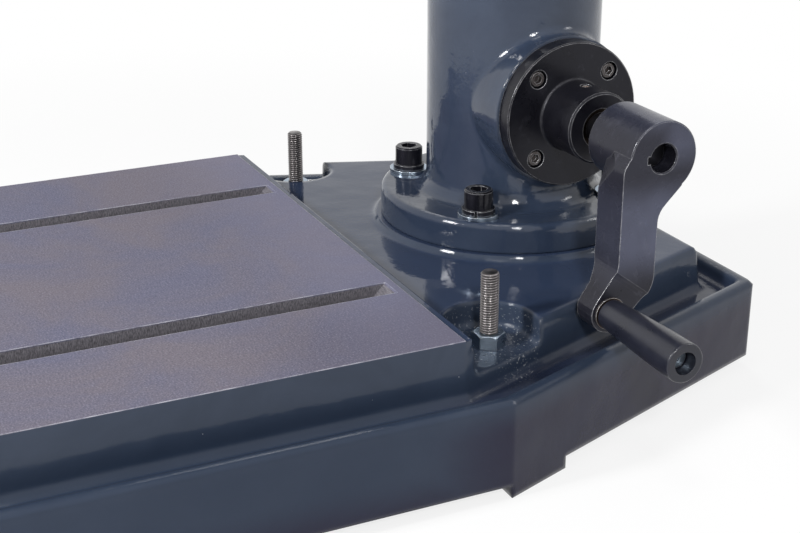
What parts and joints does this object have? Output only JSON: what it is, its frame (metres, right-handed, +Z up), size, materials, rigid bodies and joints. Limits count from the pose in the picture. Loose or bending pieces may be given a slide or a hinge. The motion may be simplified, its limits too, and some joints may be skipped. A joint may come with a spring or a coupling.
{
  "type": "drill tapping machine",
  "caption": "Column drilling and tapping machine: cast base with a slotted table and coolant trough, flanged column with a bevel-gear lift crank, and a gear head with quill feed and motor.",
  "frame": {"origin": "where the spindle axis meets the machined table face", "axes": "+Z up along the spindle axis, +X to the operator's right, +Y back to the column"},
  "size_m": [0.5975, 0.785, 1.21],
  "materials": {
    "paint": "gloss enamel, dark slate blue",
    "black_steel": "black oxide, edges worn bright",
    "zinc": "zinc plated",
    "bronze": "turned, satin",
    "bright_steel": "ground and oiled",
    "bare_iron": "machined",
    "black_plastic": "satin",
    "pale_paint": "satin enamel",
    "green_plastic": "gloss",
    "red_plastic": "gloss"
  },
  "bodies": {
    "base": {"base_casting": "paint", "anchor_studs": "zinc", "anchor_nuts": "zinc", "column_sleeve": "paint", "column_screws": "black_steel", "column_spring_washers": "black_steel", "column_flat_washers": "zinc", "screw_housing": "bare_iron", "thrust_bearing": "bright_steel", "guide_key": "bright_steel", "bearing_flange": "black_steel", "flange_screws": "black_steel", "crank_bush": "bronze", "hub_oiler": "bronze"},
    "crank": {"crank_shaft": "bright_steel", "bevel_pinion": "bright_steel", "crank_key": "bright_steel", "crank_arm": "black_steel", "crank_grub_screw": "black_steel", "grip_screw": "zinc", "grip_washer": "bronze"},
    "grip": {"crank_grip": "black_plastic"},
    "screw": {"lift_screw": "bright_steel", "bevel_wheel": "bright_steel"},
    "head": {"lift_nut": "bronze", "lift_column": "bright_steel", "head_casting": "paint", "top_cover": "paint", "cover_screws": "black_steel", "spindle_cap": "paint", "motor_body": "paint", "motor_fan_cover": "paint", "terminal_box": "pale_paint", "motor_screws": "black_steel", "sleeve_bearing": "bright_steel", "shaft_bearings": "bright_steel", "spring_housing": "black_steel", "control_panel": "pale_paint", "oil_gauge": "bronze", "side_cover": "paint"},
    "motor_rotor": {"motor_shaft": "bright_steel"},
    "layshaft": {"lay_shaft": "bright_steel", "lay_gears": "bright_steel"},
    "spindle_gear": {"drive_sleeve": "bright_steel"},
    "quill_unit": {"quill": "bright_steel", "quill_bearings": "bright_steel"},
    "spindle_unit": {"spindle": "bright_steel"},
    "feed": {"feed_shaft": "bright_steel", "feed_hub": "black_steel", "feed_levers": "bright_steel", "feed_knobs": "black_plastic", "depth_dial": "bright_steel"},
    "column_clamp": {"column_clamp_lever": "black_steel"},
    "quill_lock": {"quill_lock_lever": "black_steel"},
    "speed_left": {"speed_lever_left": "black_steel"},
    "speed_right": {"speed_lever_right": "black_steel"},
    "selector": {"mode_switch": "black_plastic"},
    "start": {"start_button": "green_plastic"},
    "stop": {"stop_button": "red_plastic"}
  },
  "joints": [
    {"name": "crank_turn", "type": "hinge", "parent": "base", "child": "crank", "pos_m": [0, 0.338, 0.107], "axis": [-1, 0, 0], "range_deg": [0, 12000]},
    {"name": "grip_spin", "type": "hinge", "parent": "crank", "child": "grip", "pos_m": [0.2255, 0.29974, -0.00937], "axis": [1, 0, 0], "continuous": true},
    {"name": "screw_turn", "type": "hinge", "parent": "base", "child": "screw", "pos_m": [0, 0.338, 0.077], "axis": [0, 0, 1], "range_deg": [-12000, 0]},
    {"name": "head_lift", "type": "slide", "parent": "base", "child": "head", "axis": [0, 0, 1], "range_m": [0, 0.2]},
    {"name": "feed_turn", "type": "hinge", "parent": "head", "child": "feed", "pos_m": [0.139, 0.0545, 0.59], "axis": [1, 0, 0], "range_deg": [0, 429.72], "stiffness_Nm_per_rad": 0.15, "springref_deg": -1432.39},
    {"name": "quill_slide", "type": "slide", "parent": "head", "child": "quill_unit", "axis": [0, 0, -1], "range_m": [0, 0.15]},
    {"name": "spindle_spin", "type": "hinge", "parent": "quill_unit", "child": "spindle_unit", "pos_m": [0, 0, 0.44], "axis": [0, 0, 1], "continuous": true},
    {"name": "spindle_gear_spin", "type": "hinge", "parent": "head", "child": "spindle_gear", "pos_m": [0, 0, 0.779], "axis": [0, 0, 1], "continuous": true},
    {"name": "layshaft_spin", "type": "hinge", "parent": "head", "child": "layshaft", "pos_m": [0, 0.1, 0.779], "axis": [0, 0, 1], "continuous": true},
    {"name": "motor_spin", "type": "hinge", "parent": "head", "child": "motor_rotor", "pos_m": [0, 0.1875, 0.803], "axis": [0, 0, 1], "continuous": true},
    {"name": "column_clamp_turn", "type": "hinge", "parent": "base", "child": "column_clamp", "pos_m": [0.094, 0.364, 0.48], "axis": [0, 1, 0], "range_deg": [0, 60]},
    {"name": "quill_lock_turn", "type": "hinge", "parent": "head", "child": "quill_lock", "pos_m": [0, -0.1, 0.569], "axis": [0, 1, 0], "range_deg": [0, 45]},
    {"name": "speed_left_turn", "type": "hinge", "parent": "head", "child": "speed_left", "pos_m": [-0.058, -0.1, 0.773], "axis": [0, -1, 0], "range_deg": [0, 60]},
    {"name": "speed_right_turn", "type": "hinge", "parent": "head", "child": "speed_right", "pos_m": [0.058, -0.1, 0.773], "axis": [0, 1, 0], "range_deg": [0, 60]},
    {"name": "selector_turn", "type": "hinge", "parent": "head", "child": "selector", "pos_m": [-0.045, -0.122, 0.673], "axis": [0, -1, 0], "range_deg": [-45, 45]},
    {"name": "start_press", "type": "slide", "parent": "head", "child": "start", "axis": [0, 1, 0], "range_m": [0, 0.004], "stiffness_N_per_m": 600},
    {"name": "stop_press", "type": "slide", "parent": "head", "child": "stop", "axis": [0, 1, 0], "range_m": [0, 0.006], "stiffness_N_per_m": 700}
  ],
  "couplings": [
    {"joint": "crank_turn", "follows": "head_lift", "rad_per_m": 1047.2},
    {"joint": "screw_turn", "follows": "head_lift", "rad_per_m": -1047.2},
    {"joint": "feed_turn", "follows": "quill_slide", "rad_per_m": 50},
    {"joint": "spindle_gear_spin", "follows": "spindle_spin", "ratio": 1},
    {"joint": "layshaft_spin", "follows": "spindle_spin", "ratio": -1.5},
    {"joint": "motor_spin", "follows": "spindle_spin", "ratio": 3.75}
  ]
}
